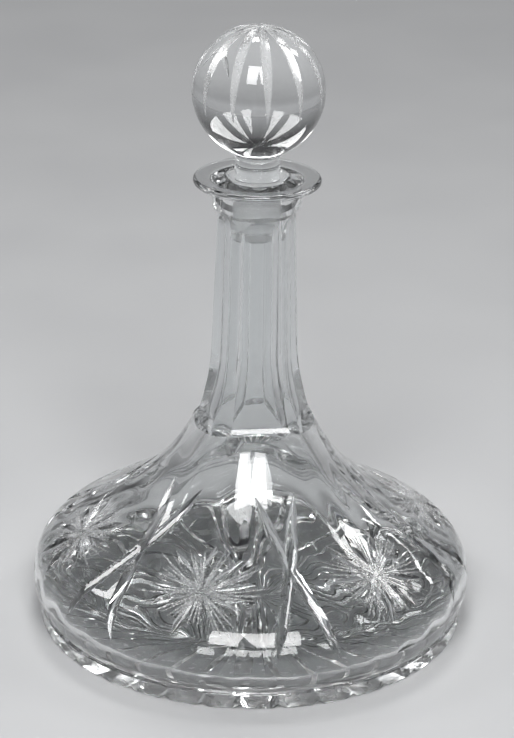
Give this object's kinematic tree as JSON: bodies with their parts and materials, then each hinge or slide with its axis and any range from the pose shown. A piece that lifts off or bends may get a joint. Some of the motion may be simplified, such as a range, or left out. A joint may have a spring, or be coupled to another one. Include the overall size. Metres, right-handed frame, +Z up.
{
  "type": "ships decanter",
  "caption": "Wide-based cut-glass decanter with a tall fluted neck and flat lip, closed by a grooved ball stopper that lifts out of its ground seat.",
  "frame": {"origin": "middle of the face the decanter stands on", "axes": "+Z up along the axis of neck and stopper, -Y the front, square to a neck panel"},
  "size_m": [0.1999, 0.2, 0.2761],
  "materials": {
    "vessel_glass": "polished clear lead glass with cut facets",
    "stopper_glass": "polished clear lead glass, the plug ground"
  },
  "bodies": {
    "vessel": {"vessel": "vessel_glass"},
    "stopper": {"stopper": "stopper_glass"}
  },
  "joints": [
    {"name": "stopper_lift", "type": "slide", "parent": "vessel", "child": "stopper", "axis": [0, 0, 1], "range_m": [0, 0.045]}
  ]
}
